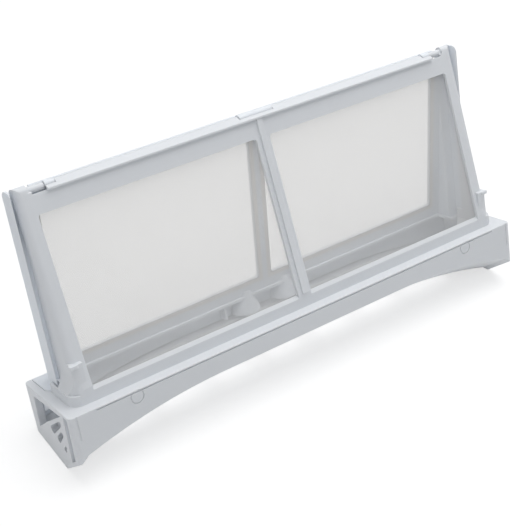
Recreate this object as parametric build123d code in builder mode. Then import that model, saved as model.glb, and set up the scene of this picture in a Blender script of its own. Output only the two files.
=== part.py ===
from build123d import *

import os
from math import atan, cos, degrees, hypot, radians, sin, tan

# Tumble dryer lint filter: two hinged moulded halves that form a wedge, with fine mesh windows.
# X runs along the filter, Y from its front wall to its back and Z up from the ledge of the rim.
# The finished pieces then lean back onto the rear facets of the rim's feet, as the filter stands on a table.

# Rim: the hollow handle along the wide end of the wedge, with a keel below and an arch along its length
rim_length = 370.0
rim_depth = 68.0
front_drop = 32.0
keel_inset = 25.0
keel_drop = 46.0
back_drop = 35.0
rim_wall = 2.4
floor_wall = 2.7
end_wall = 5.0
ledge_wall = 2.4
rim_corner = 3.0
keel_corner = 2.0
arch_rise = 18.0
arch_flat = 150.0
foot_length = 2.0
foot_slant = 5.0
foot_step = 4.0

# Air inlet slots in the rear facet of the rim
inlet_count = 7
inlet_margin = 34.5
inlet_bar = 4.0
inlet_keel_gap = 6.0
inlet_back_gap = 7.0

# Ledge, upstand and the posts beside the windows
ledge_width = 9.0
upstand_inset = 7.5
upstand_height = 7.0
upstand_corner = 8.0
upstand_wall = 1.4
upstand_gap = 0.5
pocket_drop = 0.6
post_width = 7.7
post_setback = 0.9
post_height = 27.4
post_depth = 20.1
post_corner = 9.5
flare_top = 18.5
flare_radius = 17.2
flare_inset = 0.6
nub_width = 5.8
nub_overhang = 1.0
nub_depth = 3.2
nub_wall = 2.2
nub_corner = 1.0

# Front frame
panel_inset = 12.5
panel_wall = 2.4
panel_corner = 5.0
front_lean = 11.7
front_top = 131.0
cheek_lap = 0.54
ear_depth = 3.9
ear_height = 35.0
sill_height = 10.0
sill_wall = 1.6
sill_bevel = 2.6
sill_land = 0.6
front_side = 10.5
front_band = 13.9
window_corner = 2.0
front_mullion = 10.4
rib_width = 4.0
rib_height = 1.4
floor_side = 2.5
floor_land = 1.0

# Lip along the top of the front frame
lip_inset = 20.5
lip_overhang = 2.26
lip_depth = 5.0
lip_rise = 2.3
lip_wall = 1.2
notch_drop = 1.4
notch_fall = 4.0
notch_length = 9.5

# Hinge along the narrow edge
axis_setback = 1.2
axis_rise = 0.4
pin_radius = 1.8
pin_clearance = 0.06
bead_radius = 2.2
knuckle_radius = 3.0
knuckle_sink = 0.4
knuckle_gap = 0.5
knuckle_mouth = 2.9
mouth_angle = 215.0
corner_knuckle = 6.5
centre_knuckle = 26.0
corner_lug = 9.0
corner_lug_radius = 3.7
lug_foot = 6.0

# Rear frame
rear_foot_inset = 9.9
rear_wall = 2.6
rear_inset = 4.5
rear_lap = 4.0
rear_proud = 0.3
rear_side = 11.0
rear_band = 7.86
rear_window_sill = 10.6
rear_mullion = 11.0
top_rail_depth = 2.8
top_rail_height = 12.2
top_rail_rise = 1.8
top_rail_run = 8.0

# Side rails of the rear half, outside the front cheeks
side_clearance = 1.3
rail_lap = 2.1
rail_depth = 14.0
rail_wall = 1.6
rail_bevel = 4.8
rail_rise = 2.6
rail_corner = 5.0
rail_lift = 0.4

# Base of the rear half, which closes the back of the rim
base_clearance = 0.4
base_lift = 0.8
base_depth = 27.0
base_corner_length = 4.0
base_corner_depth = 6.0
flange_wall = 2.0
back_wall = 2.4
base_back_drop = 28.5
base_side_drop = 13.0
base_side_slope = 13.6
scoop_spacing = 34.0
scoop_radius = 11.0
scoop_top_radius = 6.0
scoop_setback = 5.0
scoop_rise = 3.0
scoop_drop = 12.5
scoop_wall = 1.8
scoop_rib = 1.6
scoop_rib_spacing = 72.0
scoop_rib_depth = 10.0

# Mesh sheets
mesh_thickness = 0.5
mesh_overlap = 3.4

# Marks on the rim
slit_inset = 18.5
slit_height = 0.9
slit_drop = 0.8
slit_depth = 1.0
boss_radius = 4.8
boss_inset = 46.25
boss_drop = 4.4
boss_groove = 0.7
boss_depth = 0.6
flute_inset = 4.5
flute_width = 1.3
flute_length = 17.0
flute_depth = 0.4

# Openings in the rim's ends, each point as depth behind the front wall and drop below the ledge
end_opening = ((14.0, 3.2), (55.5, 5.2), (58.5, 29.0), (42.4, 18.9))
end_groove = ((3.9, 1.6), (9.9, 1.6), (13.0, 36.0), (6.5, 32.4))
# Slots beside it: depth, drop and radius of one end, then of the other
end_slots = (
    (34.0, 20.8, 2.9, 18.4, 10.4, 1.8),
    (26.8, 25.0, 2.4, 19.4, 18.6, 1.8),
    (19.8, 30.0, 1.5, 17.6, 27.0, 0.9),
)
end_groove_depth = 2.0

# Values that follow from the sizes above: along the length
overrun = 5.0
half_length = rim_length / 2
half_upstand = half_length - upstand_inset
half_cavity = half_length - end_wall
half_base = half_cavity - base_clearance
half_panel = half_length - panel_inset
half_floor = half_panel - floor_side
half_rear = half_panel - rear_inset
half_lip = half_panel - lip_inset
panel_width = 2 * half_panel
rear_width = 2 * half_rear
front_window_width = half_panel - front_side - front_mullion / 2
rear_window_width = half_rear - rear_side - rear_mullion / 2
inlet_pitch = 2 * (half_length - inlet_margin) / inlet_count
post_inner = half_panel - post_width
rail_inner = half_panel + side_clearance
rail_outer = rail_inner + rail_wall
knuckle_outer = half_lip
knuckle_inner = knuckle_outer - corner_knuckle
half_knuckle = centre_knuckle / 2
pin_end = knuckle_inner - knuckle_gap
bead_start = half_knuckle + knuckle_gap
barrel_start = knuckle_outer + knuckle_gap

# From the front to the back and upwards
keel_fall = (keel_drop - front_drop) / keel_inset
back_rise = (keel_drop - back_drop) / (rim_depth - keel_inset)
front_slope = tan(radians(front_lean))
panel_step = panel_wall / cos(radians(front_lean))
panel_top = ledge_width + (front_top - sill_height) * front_slope
front_height = (front_top - sill_height) / cos(radians(front_lean))
front_window_height = front_height - front_band
post_front = ledge_width + post_setback
cheek_back = panel_top + cheek_lap
ear_back = cheek_back + ear_depth
lip_front = panel_top - lip_overhang
lip_back = lip_front + lip_depth
axis_depth = lip_back + axis_setback
axis_height = front_top + axis_rise
base_front = rim_depth - base_depth
upstand_back = base_front - upstand_gap
rear_foot = rim_depth - rear_foot_inset
top_rail_front = axis_depth + knuckle_radius - knuckle_sink
top_rail_top = axis_height + top_rail_rise
top_rail_foot = top_rail_top - top_rail_height
rear_top = top_rail_foot + rear_lap
rear_slope = (rear_foot - top_rail_front + rear_proud) / rear_top
rear_lean = degrees(atan(rear_slope))
rear_step = rear_wall / cos(radians(rear_lean))
rear_height = rear_top / cos(radians(rear_lean))
rear_window_height = rear_height - rear_window_sill - rear_band
rail_front = cheek_back - rail_lap
rail_back = rail_front + rail_depth
rail_top = axis_height + rail_rise

# Outer face of the front frame and inner face of the rear frame, each with its Y up the slope
front_face = Plane(
    origin=(0, ledge_width, sill_height),
    x_dir=(1, 0, 0),
    z_dir=(0, -cos(radians(front_lean)), sin(radians(front_lean))),
)
rear_face = Plane(
    origin=(0, rear_foot, 0),
    x_dir=(1, 0, 0),
    z_dir=(0, -cos(radians(rear_lean)), -sin(radians(rear_lean))),
)


def upright(depth, height=0.0):
    """Plane that faces the front, at a depth behind the front wall, with its Y up."""
    return Plane(origin=(0, depth, height), x_dir=(1, 0, 0), z_dir=(0, -1, 0))


def section(position):
    """Plane across the filter at a place along its length: its X runs to the back and its Y up."""
    return Plane.YZ.offset(position)


def front_depth(height):
    """Depth of the front frame's outer face at a height."""
    return ledge_width + (height - sill_height) * front_slope


def rear_depth(height):
    """Depth of the rear frame's inner face at a height."""
    return rear_foot - height * rear_slope


def face_on(plane, *points):
    """Closed face through the points of a plane."""
    with BuildSketch(plane) as face:
        with BuildLine():
            Polyline(*points, close=True)
        make_face()
    return face.sketch


def arch_on(plane):
    """Face below the arch: a straight middle, a tangent arc each side and a slanted step down to the foot."""
    crown = arch_rise - front_drop
    foot = half_length - foot_length
    step = foot - foot_slant
    step_top = foot_step - front_drop
    deep = 2 * keel_drop
    with BuildSketch(plane) as face:
        with BuildLine():
            Line((-arch_flat / 2, crown), (arch_flat / 2, crown))
            TangentArc((arch_flat / 2, crown), (step, step_top), tangent=(1, 0))
            TangentArc((-arch_flat / 2, crown), (-step, step_top), tangent=(-1, 0))
            Polyline((step, step_top), (foot, -front_drop), (foot, -deep))
            Line((foot, -deep), (-foot, -deep))
            Polyline((-foot, -deep), (-foot, -front_drop), (-step, step_top))
        make_face()
    return face.sketch


def windows_on(plane, width, height, mullion, sill=0.0, margin=0.0):
    """The pair of windows of a frame on a plane, each grown by a margin."""
    with BuildSketch(plane) as face:
        with Locations((0, sill + height / 2)):
            with GridLocations(width + mullion, 0, 2, 1):
                RectangleRounded(width + 2 * margin, height + 2 * margin, window_corner)
    return face.sketch


def hull_on(plane, centre, radius, far_centre, far_radius):
    """Face round two circles of a plane and the straight sides between them."""
    with BuildSketch(plane) as face:
        with BuildLine():
            CenterArc(centre, radius, 0, 360)
            CenterArc(far_centre, far_radius, 0, 360)
        make_hull()
    return face.sketch


def lug_on(plane):
    """Section of a hinge lug: round about the axis and spreading down to the front frame."""
    foot = front_top - lug_foot
    with BuildSketch(plane) as face:
        with BuildLine():
            CenterArc((axis_depth, axis_height), corner_lug_radius, 0, 360)
            Line((front_depth(foot), foot), (front_depth(front_top), front_top))
        make_hull()
    return face.sketch


def upstand_on(plane, front, margin, corner):
    """Plan of the upstand from a depth, in from its ends by a margin, with rounded front corners."""
    with BuildSketch(plane) as face:
        with Locations((0, front)):
            Rectangle(2 * (half_upstand - margin), upstand_back - front, align=(Align.CENTER, Align.MIN))
        fillet(face.vertices().group_by(Axis.Y)[0], radius=corner)
    return face.sketch


# The arch follows the rim's keeled underside: down to the keel, then up to the back
with BuildPart() as arch:
    front_run = keel_inset + overrun
    back_run = rim_depth - keel_inset + overrun
    front_arch = arch_on(upright(-overrun, overrun * keel_fall))
    extrude(front_arch, amount=hypot(front_run, front_run * keel_fall), dir=(0, 1, -keel_fall))
    back_arch = arch_on(upright(keel_inset, -keel_inset * keel_fall))
    extrude(back_arch, amount=hypot(back_run, back_run * back_rise), dir=(0, 1, back_rise))

# Hollow of the rim, open at the back, where the rear half closes it
with BuildPart() as hollow:
    hollow_back = rim_depth + overrun
    hollow_face = face_on(
        section(-half_cavity),
        (rim_wall, -ledge_wall),
        (rim_wall, floor_wall - front_drop - rim_wall * keel_fall),
        (keel_inset, floor_wall - keel_drop),
        (hollow_back, floor_wall - back_drop + overrun * back_rise),
        (hollow_back, -ledge_wall),
    )
    extrude(hollow_face, amount=2 * half_cavity)
    add(arch.part.moved(Location((0, 0, floor_wall))), mode=Mode.SUBTRACT)

# Posts at the foot of the front frame: each flares out to the upstand's rim and has a small nub on top
with BuildPart() as posts:
    flare_foot = half_upstand - flare_inset
    for side in (-1, 1):
        with BuildSketch(upright(post_front)):
            with BuildLine():
                foot, neck = (side * flare_foot, upstand_height), (side * half_panel, flare_top)
                Polyline((side * post_inner, 0), (side * flare_foot, 0), foot)
                RadiusArc(foot, neck, side * flare_radius)
                Polyline(neck, (side * half_panel, post_height), (side * post_inner, post_height))
                Line((side * post_inner, post_height), (side * post_inner, 0))
            make_face()
        extrude(amount=-post_depth)
    post_plan = upstand_on(Plane.XY, post_front, flare_inset, post_corner)
    extrude(post_plan, amount=post_height, mode=Mode.INTERSECT)
    for side in (-1, 1):
        with BuildSketch(Plane.XY.offset(post_height)):
            with Locations((side * (half_panel + nub_overhang - nub_width / 2), ledge_width + nub_depth / 2)):
                RectangleRounded(nub_width, nub_depth, nub_corner)
        extrude(amount=-nub_wall)

# Front frame: a wedge with rounded sides, hollowed from the back and cut by two windows with a bevelled sill
with BuildPart() as wedge:
    wedge_face = face_on(
        section(-half_panel),
        (ledge_width, 0),
        (ledge_width, sill_height),
        (panel_top, front_top),
        (ear_back, front_top),
        (cheek_back, front_top - ear_height),
        (cheek_back, 0),
    )
    extrude(wedge_face, amount=panel_width)
    slope_edges = wedge.edges().filter_by(Axis((0, 0, 0), front_face.y_dir))
    fillet(slope_edges, radius=panel_corner)
    add(posts.part)
    sill_back = ledge_width + sill_wall
    open_top = front_top + overrun
    open_back = ear_back + overrun
    lint_face = face_on(
        section(panel_wall - half_panel),
        (sill_back, 0),
        (sill_back, sill_height + (sill_wall - panel_step) / front_slope),
        (front_depth(open_top) + panel_step, open_top),
        (open_back, open_top),
        (open_back, 0),
    )
    extrude(lint_face, amount=panel_width - 2 * panel_wall, mode=Mode.SUBTRACT)
    front_windows = windows_on(front_face, front_window_width, front_window_height, front_mullion)
    extrude(front_windows, amount=-2 * panel_wall, mode=Mode.SUBTRACT)
    bevel_depth = (panel_wall - sill_land) * cos(radians(front_lean))
    for start in (front_mullion / 2, -front_mullion / 2 - front_window_width):
        bevel = face_on(
            section(start),
            (ledge_width, sill_height - sill_bevel),
            (ledge_width, sill_height + sill_bevel),
            (ledge_width + bevel_depth, sill_height - bevel_depth * front_slope),
        )
        extrude(bevel, amount=front_window_width, mode=Mode.SUBTRACT)
    with BuildSketch(front_face):
        with Locations((0, front_height / 2)):
            Rectangle(rib_width, front_height)
    extrude(amount=rib_height)

# Lugs at the corners of the hinge, rounded like the sides of the front frame
with BuildPart() as lugs:
    extrude(lug_on(section(-half_panel)), amount=panel_width)
    with BuildSketch(Plane(origin=front_face.origin, x_dir=(1, 0, 0), z_dir=front_face.y_dir)) as frame_plan:
        Rectangle(panel_width, axis_depth, align=(Align.CENTER, Align.MIN))
        fillet(frame_plan.vertices().group_by(Axis.Y)[0], radius=panel_corner)
    extrude(amount=front_height + 2 * overrun, mode=Mode.INTERSECT)
    lug_inner = half_panel - corner_lug
    extrude(lug_on(section(-lug_inner)), amount=2 * lug_inner, mode=Mode.SUBTRACT)

with BuildPart() as front_shell:
    # Rim
    with BuildSketch(section(-half_length)) as rim_profile:
        with BuildLine():
            Polyline(
                (0, 0),
                (0, -front_drop),
                (keel_inset, -keel_drop),
                (rim_depth, -back_drop),
                (rim_depth, 0),
                close=True,
            )
        make_face()
        fillet(rim_profile.vertices().sort_by(Axis.Y)[:3], radius=keel_corner)
    extrude(amount=rim_length)
    with BuildSketch(Plane.XY.offset(-keel_drop)):
        with Locations((0, rim_depth / 2)):
            RectangleRounded(rim_length, rim_depth, rim_corner)
    extrude(amount=keel_drop, mode=Mode.INTERSECT)
    add(arch.part, mode=Mode.SUBTRACT)
    add(hollow.part, mode=Mode.SUBTRACT)

    # Bay for the rear half's flange, and the opening that lets the air into the wedge
    bay = face_on(
        Plane.XY.offset(-ledge_wall),
        (-half_cavity, rim_depth + overrun),
        (-half_cavity, base_front + base_corner_depth),
        (base_corner_length - half_cavity, base_front),
        (half_cavity - base_corner_length, base_front),
        (half_cavity, base_front + base_corner_depth),
        (half_cavity, rim_depth + overrun),
    )
    extrude(bay, amount=ledge_wall, mode=Mode.SUBTRACT)
    floor_corner = base_front - floor_land - sill_back
    floor_hole = face_on(
        Plane.XY.offset(-ledge_wall),
        (-half_floor, base_front),
        (-half_floor, sill_back + floor_corner),
        (floor_corner - half_floor, sill_back),
        (half_floor - floor_corner, sill_back),
        (half_floor, sill_back + floor_corner),
        (half_floor, base_front),
    )
    extrude(floor_hole, amount=ledge_wall, mode=Mode.SUBTRACT)

    # Air inlet
    inlet_front = keel_inset + inlet_keel_gap
    inlet_back = rim_depth - inlet_back_gap
    with BuildSketch(Plane.XY.offset(-keel_drop)):
        with Locations((0, (inlet_front + inlet_back) / 2)):
            with GridLocations(inlet_pitch, 0, inlet_count, 1):
                RectangleRounded(inlet_pitch - inlet_bar, inlet_back - inlet_front, window_corner)
    extrude(amount=keel_drop - 2 * ledge_wall, mode=Mode.SUBTRACT)

    # Upstand round the foot of the front frame, with a pocket for each side rail
    lint_width = panel_width - 2 * panel_wall
    pocket_front = rail_front - side_clearance
    pocket_outer = half_upstand - upstand_wall
    pocket_width = pocket_outer - half_panel
    extrude(upstand_on(Plane.XY, ledge_width, 0, upstand_corner), amount=upstand_height)
    with BuildSketch():
        with Locations((0, sill_back)):
            Rectangle(lint_width, upstand_back - sill_back, align=(Align.CENTER, Align.MIN))
    extrude(amount=upstand_height, mode=Mode.SUBTRACT)
    for side in (-1, 1):
        with BuildSketch(Plane.XY.offset(-pocket_drop)):
            with Locations((side * (half_panel + pocket_outer) / 2, pocket_front)):
                Rectangle(pocket_width, base_front - pocket_front, align=(Align.CENTER, Align.MIN))
        extrude(amount=pocket_drop + upstand_height, mode=Mode.SUBTRACT)
    add(wedge.part)

    # Lip, with a notch beyond each end and room behind it for the knuckles
    lip_foot = front_top - lip_wall
    lip_face = face_on(
        section(-half_lip),
        (lip_front, lip_foot),
        (lip_front, front_top),
        (lip_back, front_top + lip_rise),
        (lip_back, lip_foot),
    )
    extrude(lip_face, amount=2 * half_lip)
    for side in (-1, 1):
        notch = face_on(
            section(side * half_lip),
            (lip_front, front_top - notch_drop),
            (lip_front, front_top + overrun),
            (ear_back, front_top + overrun),
            (ear_back, front_top - notch_drop - notch_fall),
            (panel_top, front_top - notch_drop),
        )
        extrude(notch, amount=side * notch_length, mode=Mode.SUBTRACT)
        with BuildSketch(section(side * pin_end)):
            with Locations((axis_depth, axis_height)):
                Circle(knuckle_radius + knuckle_gap)
        extrude(amount=side * (barrel_start - pin_end), mode=Mode.SUBTRACT)
    with BuildSketch(section(-bead_start)):
        with Locations((axis_depth, axis_height)):
            Circle(knuckle_radius + knuckle_gap)
    extrude(amount=2 * bead_start, mode=Mode.SUBTRACT)

    # Hinge: a bead behind the lip and a lug at each corner, with the pins between them
    add(lugs.part)
    lug_middle = half_panel - corner_lug / 2
    for side in (-1, 1):
        for start, end in ((bead_start, pin_end), (barrel_start, lug_middle)):
            with BuildSketch(section(side * start)):
                with Locations((axis_depth, axis_height)):
                    Circle(bead_radius)
            extrude(amount=side * (end - start))
    with BuildSketch(section(-lug_middle)):
        with Locations((axis_depth, axis_height)):
            Circle(pin_radius)
    extrude(amount=2 * lug_middle)

    # Slit under the ledge, the round marks beside its ends and the flute near each corner
    with BuildSketch(upright(0)):
        with Locations((0, -slit_drop - slit_height / 2)):
            Rectangle(2 * (half_length - slit_inset), slit_height)
    extrude(amount=-slit_depth, mode=Mode.SUBTRACT)
    with BuildSketch(upright(0)):
        with Locations((0, -boss_drop)):
            with GridLocations(2 * (half_length - boss_inset), 0, 2, 1):
                Circle(boss_radius)
                Circle(boss_radius - boss_groove, mode=Mode.SUBTRACT)
    extrude(amount=-boss_depth, mode=Mode.SUBTRACT)
    with BuildSketch(upright(0)):
        with Locations((0, -flute_length / 2)):
            with GridLocations(2 * (half_length - flute_inset), 0, 2, 1):
                Rectangle(flute_width, flute_length)
    extrude(amount=-flute_depth, mode=Mode.SUBTRACT)

    # Opening, slots and groove of the two ends
    for side in (-1, 1):
        end = section(side * half_length)
        inward = -side * (end_wall + rim_wall)
        opening = face_on(end, *((depth, -drop) for depth, drop in end_opening))
        extrude(opening, amount=inward, mode=Mode.SUBTRACT)
        for depth, drop, radius, far_depth, far_drop, far_radius in end_slots:
            slot = hull_on(end, (depth, -drop), radius, (far_depth, -far_drop), far_radius)
            extrude(slot, amount=inward, mode=Mode.SUBTRACT)
        groove = face_on(end, *((depth, -drop) for depth, drop in end_groove))
        extrude(groove, amount=-side * end_groove_depth, mode=Mode.SUBTRACT)

with BuildPart() as rear_shell:
    # Frame with its two windows
    with BuildSketch(rear_face):
        with Locations((0, -flange_wall)):
            Rectangle(rear_width, flange_wall + rear_height, align=(Align.CENTER, Align.MIN))
    extrude(amount=-rear_wall)
    rear_windows = windows_on(
        rear_face, rear_window_width, rear_window_height, rear_mullion, rear_window_sill
    )
    extrude(rear_windows, amount=-rear_wall, mode=Mode.SUBTRACT)
    half_rail = half_lip + top_rail_run
    with BuildSketch(section(-half_rail)):
        with Locations((top_rail_front, top_rail_foot)):
            Rectangle(top_rail_depth, top_rail_height, align=(Align.MIN, Align.MIN))
    extrude(amount=2 * half_rail)

    # Side rails, each a plate outside the cheek, a web and a wall back to the frame
    rail_web = rail_back - rail_wall
    for side in (-1, 1):
        with BuildSketch(section(side * rail_inner)) as rail_plan:
            with Locations((rail_front, rail_lift)):
                Rectangle(rail_depth, rail_top - rail_lift, align=(Align.MIN, Align.MIN))
            fillet(rail_plan.vertices().group_by(Axis.Y)[-1], radius=rail_corner)
        extrude(amount=side * rail_wall)
        bevel = face_on(
            Plane.XY,
            (side * rail_inner, rail_front),
            (side * rail_outer, rail_front),
            (side * rail_inner, rail_front + rail_bevel),
        )
        extrude(bevel, amount=rail_top, mode=Mode.SUBTRACT)
        with BuildSketch(upright(rail_back)):
            with Locations((side * (half_rear - rail_wall + rail_outer) / 2, 0)):
                Rectangle(rail_outer - half_rear + rail_wall, front_top, align=(Align.CENTER, Align.MIN))
        extrude(amount=rail_wall)
        cross = (rear_foot - rail_web) / rear_slope
        side_face = face_on(
            section(side * half_rear),
            (rail_web, -flange_wall),
            (rear_foot, -flange_wall),
            (rear_depth(0), 0),
            (rail_web + rear_step, cross),
            (rail_back, front_top),
            (rear_depth(rear_top), rear_top),
            (rail_web, cross),
        )
        extrude(side_face, amount=-side * rail_wall)

    # Base flange, flush with the ledge
    flange = face_on(
        Plane.XY,
        (-half_base, rim_depth),
        (-half_base, base_front + base_corner_depth + base_clearance),
        (base_corner_length - half_base, base_front + base_clearance),
        (half_base - base_corner_length, base_front + base_clearance),
        (half_base, base_front + base_corner_depth + base_clearance),
        (half_base, rim_depth),
    )
    extrude(flange, amount=-flange_wall)
    air_width = rear_width - 4 * rail_wall
    with BuildSketch():
        with Locations((0, base_front)):
            Rectangle(air_width, rear_foot - rail_wall - base_front, align=(Align.CENTER, Align.MIN))
    extrude(amount=-flange_wall, mode=Mode.SUBTRACT)
    with BuildSketch(Plane.XY):
        with Locations((0, rim_depth)):
            Rectangle(2 * half_base, back_wall, align=(Align.CENTER, Align.MAX))
    extrude(amount=-base_back_drop)
    for side in (-1, 1):
        base_side = face_on(
            section(side * half_base),
            (base_front + base_corner_depth, 0),
            (base_front + base_corner_depth, -base_side_drop),
            (rim_depth, -base_side_drop - base_side_slope),
            (rim_depth, 0),
        )
        extrude(base_side, amount=-side * rail_wall)
    add(arch.part.moved(Location((0, 0, floor_wall + base_lift))), mode=Mode.SUBTRACT)

    # Finger scoops in the back wall, with a rib beside each
    scoop_height = scoop_rise + scoop_drop
    scoop_middle = Plane(origin=(0, rim_depth - scoop_setback, (scoop_rise - scoop_drop) / 2))
    with Locations(scoop_middle):
        with GridLocations(scoop_spacing, 0, 2, 1):
            Cone(scoop_radius, scoop_top_radius, scoop_height)
    with BuildSketch(Plane.XY):
        with Locations((0, rim_depth - scoop_rib_depth / 2)):
            with GridLocations(scoop_rib_spacing, 0, 2, 1):
                Rectangle(scoop_rib, scoop_rib_depth)
    extrude(amount=-scoop_drop)
    with Locations(scoop_middle.offset(-scoop_wall)):
        with GridLocations(scoop_spacing, 0, 2, 1):
            Cone(scoop_radius - scoop_wall, scoop_top_radius - scoop_wall, scoop_height, mode=Mode.SUBTRACT)
    split(bisect_by=Plane(origin=(0, rim_depth, 0), z_dir=(0, 1, 0)), keep=Keep.BOTTOM)

    # Knuckles that snap over the pins
    for start, length in (
        (-knuckle_outer, corner_knuckle),
        (-half_knuckle, centre_knuckle),
        (knuckle_inner, corner_knuckle),
    ):
        with BuildSketch(section(start)):
            with Locations((axis_depth, axis_height)):
                Circle(knuckle_radius)
        extrude(amount=length)
        with BuildSketch(section(start)):
            with Locations((axis_depth, axis_height)):
                Circle(pin_radius + pin_clearance)
            with Locations((axis_depth, axis_height)):
                with Locations(Rotation(0, 0, mouth_angle)):
                    Rectangle(2 * knuckle_radius, knuckle_mouth, align=(Align.MIN, Align.CENTER))
        extrude(amount=length, mode=Mode.SUBTRACT)

# Mesh sheets on the inner faces of the two frames
front_inner = front_face.offset(-panel_wall)
front_sheets = windows_on(
    front_inner, front_window_width, front_window_height, front_mullion, margin=mesh_overlap
).faces().sort_by(Axis.X)
rear_sheets = windows_on(
    rear_face, rear_window_width, rear_window_height, rear_mullion, rear_window_sill, mesh_overlap
).faces().sort_by(Axis.X)
with BuildPart() as front_mesh_left:
    extrude(front_sheets[0], amount=-mesh_thickness)
with BuildPart() as front_mesh_right:
    extrude(front_sheets[1], amount=-mesh_thickness)
with BuildPart() as rear_mesh_left:
    extrude(rear_sheets[0], amount=mesh_thickness)
with BuildPart() as rear_mesh_right:
    extrude(rear_sheets[1], amount=mesh_thickness)

# The filter leans back until the rear facets of its feet lie flat, with the origin under its middle
pieces = {
    "front_shell": front_shell,
    "rear_shell": rear_shell,
    "front_mesh_left": front_mesh_left,
    "front_mesh_right": front_mesh_right,
    "rear_mesh_left": rear_mesh_left,
    "rear_mesh_right": rear_mesh_right,
}
lean = atan(back_rise)
turn = Location((0, 0, keel_inset * sin(lean) + keel_drop * cos(lean)), (-degrees(lean), 0, 0))
boxes = [piece.part.moved(turn).bounding_box() for piece in pieces.values()]
middle = (min(box.min.Y for box in boxes) + max(box.max.Y for box in boxes)) / 2
os.makedirs("parts", exist_ok=True)
for name, piece in pieces.items():
    standing = piece.part.moved(Location((0, -middle, 0)) * turn)
    standing.label = name
    export_step(standing, f"parts/{name}.step")
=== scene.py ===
# %% [markdown]
# # A tumble dryer lint filter
# The filter is two light grey plastic mouldings, hinged along their narrow edge, with a fine woven screen
# in each of their four windows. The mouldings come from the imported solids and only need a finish. The
# screens are made here, because a woven cloth is more than a plain slab.

import math

import bmesh
import bpy
from mathutils import Matrix, Vector


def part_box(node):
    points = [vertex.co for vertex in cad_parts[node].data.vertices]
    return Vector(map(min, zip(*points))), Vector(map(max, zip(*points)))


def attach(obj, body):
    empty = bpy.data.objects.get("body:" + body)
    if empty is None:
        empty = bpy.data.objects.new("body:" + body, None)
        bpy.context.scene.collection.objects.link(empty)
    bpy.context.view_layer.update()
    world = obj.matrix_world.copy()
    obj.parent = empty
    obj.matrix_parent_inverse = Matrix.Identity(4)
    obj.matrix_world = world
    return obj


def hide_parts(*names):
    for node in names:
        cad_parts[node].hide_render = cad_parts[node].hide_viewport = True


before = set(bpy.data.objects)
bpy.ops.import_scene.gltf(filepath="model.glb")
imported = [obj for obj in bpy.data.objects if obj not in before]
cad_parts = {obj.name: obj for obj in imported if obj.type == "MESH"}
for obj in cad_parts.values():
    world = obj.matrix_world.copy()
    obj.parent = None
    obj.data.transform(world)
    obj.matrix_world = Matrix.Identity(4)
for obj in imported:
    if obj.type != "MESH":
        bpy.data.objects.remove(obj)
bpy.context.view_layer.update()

# %% [markdown]
# Shader maths reads best as plain sums. A `Wire` holds one output of a node tree, and a sum or product of
# wires and numbers adds the Math nodes for it. Every other node comes from `Nodes.node`, which sets the
# node's options first and then fills its sockets with values or wires. A `Finish` is the tree of a new
# material, and the sky uses the same calls on the world's tree.

# %% Wires and finishes
class Wire:
    """One output socket of a node tree, which takes part in sums."""

    def __init__(self, nodes, socket):
        self.nodes = nodes
        self.socket = socket

    def __add__(self, other):
        return self.nodes.maths("ADD", self, other)

    def __radd__(self, other):
        return self.nodes.maths("ADD", other, self)

    def __sub__(self, other):
        return self.nodes.maths("SUBTRACT", self, other)

    def __rsub__(self, other):
        return self.nodes.maths("SUBTRACT", other, self)

    def __mul__(self, other):
        return self.nodes.maths("MULTIPLY", self, other)

    def __rmul__(self, other):
        return self.nodes.maths("MULTIPLY", other, self)


class Nodes:
    """A node tree whose nodes are added one call at a time."""

    def __init__(self, tree):
        self.tree = tree

    def fill(self, node, sockets):
        for key, value in sockets.items():
            if isinstance(value, Wire):
                self.tree.links.new(value.socket, node.inputs[key])
            else:
                node.inputs[key].default_value = value

    def node(self, kind, settings=None, sockets=None, output=0):
        made = self.tree.nodes.new(kind)
        for key, value in (settings or {}).items():
            setattr(made, key, value)
        self.fill(made, sockets or {})
        return Wire(self, made.outputs[output])

    def maths(self, operation, first, second=0.0):
        return self.node("ShaderNodeMath", {"operation": operation}, {0: first, 1: second})

    def blend(self, share, first, second):
        return self.node("ShaderNodeMix", {"data_type": "RGBA"}, {0: share, 6: first, 7: second}, 2)


class Finish(Nodes):
    """The node tree of a new material."""

    def __init__(self, name):
        self.material = bpy.data.materials.new(name)
        self.material.use_nodes = True
        super().__init__(self.material.node_tree)
        self.shader = self.tree.nodes["Principled BSDF"]
        self.end = self.tree.nodes["Material Output"]

    def surface(self, sockets):
        self.fill(self.shader, sockets)


print("materials that came with the solids:", len(bpy.data.materials))

# %% [markdown]
# ## The moulded plastic
# The two halves are mouldings in a pale, slightly blue grey. Mouldings of this kind have a very fine spark
# texture, broad faint clouds where the plastic flowed into the mould, and edges that are never quite sharp.
# The photograph is too small to show the texture, so its size is a guess. A bevel modifier would need clean
# quads, and the solids are loose triangles, so a Bevel node softens the edges in the shading alone and the
# solids keep their exact shape. The clouds tint the colour and the fine grain feeds a bump. Thin walls let
# a little light through, which some subsurface scattering gives.

# %% Finish of a moulding
cloud_scale = 18.0
flow_scale = (9.0, 70.0, 70.0)
flow_share = 0.4
grain_scale = 2600.0
grain_height = 0.0001
grain_bump = 0.12
edge_radius = 0.0004
edge_gain = 4.0
# share of the painted highlight that lightens the rounded edges
edge_highlight_share = 0.5
least_roughness = 0.4
cloud_roughness = 0.12
grain_roughness = 0.06
light_travel = 0.0015


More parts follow.
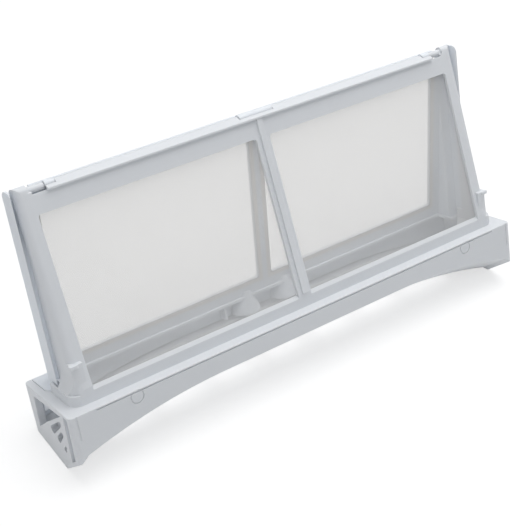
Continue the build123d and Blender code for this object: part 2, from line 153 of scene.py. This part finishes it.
def moulded_plastic(name, pale, cloud, edge_highlight):
    """A grained plastic with faint flow clouds between two tones and a painted highlight on its edges."""
    plastic = Finish(name)
    place = plastic.node("ShaderNodeTexCoord", output="Object")
    clouds = plastic.node(
        "ShaderNodeTexNoise",
        None,
        {"Vector": place, "Scale": cloud_scale, "Detail": 3.0, "Roughness": 0.55},
    )
    drawn = plastic.node("ShaderNodeMapping", None, {"Vector": place, "Scale": flow_scale})
    flow = plastic.node("ShaderNodeTexNoise", None, {"Vector": drawn, "Scale": 1.0, "Detail": 2.0})
    grain = plastic.node(
        "ShaderNodeTexNoise", None, {"Vector": place, "Scale": grain_scale, "Detail": 2.0}
    )
    soft_normal = plastic.node("ShaderNodeBevel", {"samples": 6}, {"Radius": edge_radius})
    flat_normal = plastic.node("ShaderNodeNewGeometry", output="Normal")
    agree = plastic.node(
        "ShaderNodeVectorMath",
        {"operation": "DOT_PRODUCT"},
        {0: soft_normal, 1: flat_normal},
        "Value",
    )
    edge = plastic.node("ShaderNodeClamp", None, {"Value": (1.0 - agree) * edge_gain})
    body_colour = plastic.blend(clouds * (1.0 - flow_share) + flow * flow_share, pale, cloud)
    grained = plastic.node(
        "ShaderNodeBump",
        None,
        {"Strength": grain_bump, "Distance": grain_height, "Height": grain, "Normal": soft_normal},
    )
    plastic.surface({
        # the rounded edges are painted a paler tone as a painted highlight
        "Base Color": plastic.blend(edge * edge_highlight_share, body_colour, edge_highlight),
        "Roughness": least_roughness + clouds * cloud_roughness + grain * grain_roughness,
        "Normal": grained,
        "IOR": 1.5,
        "Subsurface Weight": 0.5,
        "Subsurface Radius": (1.0, 1.0, 1.0),
        "Subsurface Scale": light_travel,
    })
    return plastic.material


# %% [markdown]
# Both halves look like the same plastic in the photograph. The rear half gets a slightly lighter tone here,
# because the space between the halves is brighter there than soft lamps alone make it.

# %% Finish of the two mouldings
# the third tone of each half is the painted highlight on its edges
shell_tones = {
    "front_shell": {
        "pale": (0.79, 0.808, 0.832, 1.0),
        "cloud": (0.755, 0.773, 0.8, 1.0),
        "edge_highlight": (0.86, 0.87, 0.885, 1.0),
    },
    # the rear half's lighter tones are painted light for the space between the halves
    "rear_shell": {
        "pale": (0.85, 0.885, 0.93, 1.0),
        "cloud": (0.815, 0.85, 0.9, 1.0),
        "edge_highlight": (0.89, 0.91, 0.93, 1.0),
    },
}
for name, tones in shell_tones.items():
    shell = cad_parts[name]
    shell.data.materials.clear()
    shell.data.materials.append(moulded_plastic(name + "_plastic", **tones))
    print(name, "has", len(shell.data.materials), "finish")

# %% [markdown]
# ## The woven screens
# Each window is closed by a fine screen of off-white threads. It is taken here to be a plain weave,
# stretched flat and welded to the inside of the frame along its border. Real threads as geometry would take
# millions of faces, and they are finer than a pixel of a normal picture, so the material draws them: two
# sets of soft stripes across the cloth's own map are the threads, and the gaps between them are nearly
# clear.

# %% Finish of the screens
weave_pitch = 0.0004
thread_share = 0.32
thread_blur = 0.1
thread_cover = 0.8
gap_haze = 0.08
thread_height = 0.0001
thread_bump = 0.35
thread_roughness = 0.62
warp_share = 0.6
weld_width = 0.003
weld_gloss = 0.2
mottle_scale = 60.0
thread_white = (0.855, 0.838, 0.815, 1.0)
thread_grey = (0.805, 0.792, 0.775, 1.0)


def thread_stripes(weave, turned, axis):
    """Cover of one set of threads, which lie side by side along an axis of the turned map."""
    lay = weave.node("ShaderNodeSeparateXYZ", None, {"Vector": turned}, axis)
    return weave.node(
        "ShaderNodeMapRange",
        {"interpolation_type": "SMOOTHSTEP"},
        {
            "Value": weave.maths("PINGPONG", lay * (1.0 / weave_pitch), 0.5),
            "From Min": 0.0,
            "From Max": thread_share / 2 + thread_blur,
            "To Min": thread_cover,
            "To Max": gap_haze,
        },
    )


def screen_finish(name, across, along, bias):
    """A plain weave on a sheet of that width and length, turned by an angle, with a welded border."""
    weave = Finish(name)
    cloth = weave.node("ShaderNodeUVMap", {"uv_map": "weave"})
    flat = weave.node("ShaderNodeMapping", None, {"Vector": cloth, "Scale": (across, along, 1.0)})
    turned = weave.node(
        "ShaderNodeVectorRotate", {"rotation_type": "Z_AXIS"}, {"Vector": flat, "Angle": bias}
    )
    rims = []
    for axis, length in (("X", across), ("Y", along)):
        side = weave.node("ShaderNodeSeparateXYZ", None, {"Vector": cloth}, axis)
        rims.append(weave.maths("PINGPONG", side, 0.5) * length)
    weld = weave.maths("LESS_THAN", weave.maths("MINIMUM", *rims), weld_width)
    warp = thread_stripes(weave, turned, "X")
    weft = thread_stripes(weave, turned, "Y")
    covered = weave.maths("MAXIMUM", warp, weft)
    crossing = warp * warp_share + weft * (1.0 - warp_share)
    mottle = weave.node(
        "ShaderNodeTexNoise", None, {"Vector": cloth, "Scale": mottle_scale, "Detail": 4.0}
    )
    raised = weave.node(
        "ShaderNodeBump",
        None,
        {"Strength": thread_bump, "Distance": thread_height, "Height": crossing},
    )
    weave.surface({
        "Base Color": weave.blend(mottle, thread_white, thread_grey),
        "Roughness": thread_roughness - weld * weld_gloss,
        "Alpha": weave.maths("MAXIMUM", covered, weld),
        "Normal": raised,
    })
    return weave.material


# %% [markdown]
# A stretched cloth is nearly flat, and the little slack in it shows as a faint ripple. A cloth simulation
# would give much the same after a wait, so each sheet is a grid that is rippled by a hair before it is laid
# in its window. The ripple dies out at the border, where the cloth is held. The grid's own map runs along
# the sheet, and its place and its lean come from the solid that it stands for: the solid's box holds the
# slab's length and its small thickness, both turned by the lean, and `slab_size` works the length out.

# %% Shape of a screen
cloth_columns = 72
cloth_rows = 52
ripple = 0.00012
long_wave = Vector((19.0, 5.0))
cross_wave = Vector((8.0, -17.0))
cross_share = 0.6


def slab_size(node):
    """Width, length and lean of a screen's solid."""
    low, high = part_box(node)
    broad_face = max(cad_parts[node].data.polygons, key=lambda face: face.area)
    lean = math.asin(abs(broad_face.normal.z))
    rise = high.z - low.z
    run = high.y - low.y
    along = (rise - run * math.tan(lean)) / (math.cos(lean) - math.sin(lean) * math.tan(lean))
    return high.x - low.x, along, lean


def rippled_sheet(across, along):
    """A flat grid of that width and length with a faint ripple, as a bmesh."""
    cloth = bmesh.new()
    cloth.loops.layers.uv.new("weave")
    bmesh.ops.create_grid(
        cloth, x_segments=cloth_columns, y_segments=cloth_rows, size=0.5, calc_uvs=True
    )
    for point in cloth.verts:
        spot = point.co.xy
        held = math.cos(math.pi * spot.x) * math.cos(math.pi * spot.y)
        waves = math.sin(long_wave.dot(spot)) + cross_share * math.sin(cross_wave.dot(spot))
        point.co.z = ripple * held * waves
    bmesh.ops.scale(cloth, vec=(across, along, 1.0), verts=cloth.verts)
    return cloth


print("a screen has", cloth_columns * cloth_rows, "faces")

# %% [markdown]
# Each sheet rides on its half and stands for its solid. Two things here are choices for the picture. The
# sheets cast no shadow: real threads hold back some light, but the space behind them is bright in the
# photograph and came out too dark with their shadow. The rear weave is turned, because two weaves that lie
# the same way beat against each other and show broad bands.

# %% Screens of the four windows
weave_turns = {"front": 0.0, "rear": math.radians(20.0)}


def stretched_screen(name, node, body, bias):
    """A woven sheet in the middle of a screen's solid."""
    across, along, lean = slab_size(node)
    low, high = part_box(node)
    cloth = rippled_sheet(across, along)
    upright = Matrix.Rotation(math.pi / 2 - lean, 3, "X")
    bmesh.ops.rotate(cloth, matrix=upright, verts=cloth.verts)
    bmesh.ops.translate(cloth, vec=(low + high) / 2, verts=cloth.verts)
    mesh = bpy.data.meshes.new(name)
    cloth.to_mesh(mesh)
    cloth.free()
    for face in mesh.polygons:
        face.use_smooth = True
    mesh.materials.append(screen_finish(name + "_weave", across, along, bias))
    piece = bpy.data.objects.new(name, mesh)
    bpy.context.collection.objects.link(piece)
    piece.visible_shadow = False
    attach(piece, body)
    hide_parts(node)
    size = f"{across * 1000:.1f} by {along * 1000:.1f} mm"
    print(name, "is", size, "and leans by", round(math.degrees(lean), 2), "degrees")


for half, bias in weave_turns.items():
    for hand in ("left", "right"):
        stretched_screen(
            f"{half}_screen_{hand}", f"{half}_mesh_{hand}", half, bias
        )

# %% [markdown]
# ## The studio
# The filter stands on a plain pale floor. A floor that is lit to full white would throw too much light up
# at the filter, so the floor is a light grey that adds some white of its own where the camera looks at it,
# straight or by way of a reflection, and it keeps the soft shadow.

# %% Floor
floor_reach = 4.0
floor_grey = (0.8, 0.8, 0.8, 1.0)
floor_white = (1.0, 1.0, 1.0, 1.0)
white_strength = 1.6
white_share = 0.38


def looked_at(nodes):
    """One on rays from the camera, also after a reflection or through glass, and zero on others."""
    rays = nodes.node("ShaderNodeLightPath", output="Is Camera Ray")
    mirrored = Wire(nodes, rays.socket.node.outputs["Is Glossy Ray"])
    passed = Wire(nodes, rays.socket.node.outputs["Is Transmission Ray"])
    return nodes.node("ShaderNodeClamp", None, {"Value": rays + mirrored + passed})


ground = bmesh.new()
bmesh.ops.create_grid(ground, x_segments=1, y_segments=1, size=floor_reach)
floor_mesh = bpy.data.meshes.new("floor")
ground.to_mesh(floor_mesh)
ground.free()
floor = bpy.data.objects.new("floor", floor_mesh)
bpy.context.collection.objects.link(floor)

paper = Finish("floor_paper")
paper.surface({"Base Color": floor_grey, "Roughness": 0.9})
lit = Wire(paper, paper.shader.outputs["BSDF"])
glow = paper.node(
    "ShaderNodeEmission", None, {"Color": floor_white, "Strength": white_strength}
)
lifted = paper.node(
    "ShaderNodeMixShader", None, {0: looked_at(paper) * white_share, 1: lit, 2: glow}
)
paper.fill(paper.end, {"Surface": lifted})
floor_mesh.materials.append(paper.material)
print("floor reaches", floor_reach, "m each way")

# %% [markdown]
# The light is even. A very broad lamp overhead gives the upward faces their brightness, a weak one off the
# left end lifts the end face, and a pale sky fills the rest. Seen straight or in a reflection, the sky is
# almost white, so that views from low down have a pale background too.

# %% Sky
sky_light = 0.38
sky_tint = (0.96, 0.98, 1.0, 1.0)
sky = bpy.data.worlds.new("pale_sky")
sky.use_nodes = True
air = Nodes(sky.node_tree)
sky_strength = sky_light + looked_at(air) * (1.0 - sky_light)
air.fill(air.tree.nodes["Background"], {"Color": sky_tint, "Strength": sky_strength})
bpy.context.scene.world = sky
print("sky lights the filter with a strength of", sky_light)

# %% Lamps
lamp_target = Vector((0.0, 0.0, 0.08))


def softbox(name, place, size, energy):
    """A round soft lamp at a place, turned to the filter."""
    light = bpy.data.lights.new(name, "AREA")
    light.shape = "DISK"
    light.size = size
    light.energy = energy
    lamp = bpy.data.objects.new(name, light)
    lamp.location = place
    lamp.rotation_euler = (lamp_target - lamp.location).to_track_quat("-Z", "Y").to_euler()
    bpy.context.collection.objects.link(lamp)
    print(name, "is", size, "m across and gives", energy, "W")


softbox("top_lamp", place=(0.3, 0.06, 1.5), size=1.7, energy=16.4)
softbox("end_lamp", place=(-1.4, -0.3, 0.45), size=1.2, energy=1.4)

# %% [markdown]
# ## The camera
# The photograph looks down on the filter from its front left. The place and lens of the camera follow from
# the perspective of the rim and the windows.

# %% Camera
camera_data = bpy.data.cameras.new("camera")
camera_data.lens = 76.38
camera_data.sensor_width = 36.0
camera_turn = (54.748, 0.217, -35.525)
camera = bpy.data.objects.new("camera", camera_data)
camera.location = (-0.37343, -0.50098, 0.51096)
camera.rotation_euler = tuple(math.radians(turn) for turn in camera_turn)
bpy.context.collection.objects.link(camera)
bpy.context.scene.camera = camera
bpy.context.scene.view_settings.view_transform = "Standard"
print("camera is", round(camera.location.length, 3), "m from the origin")
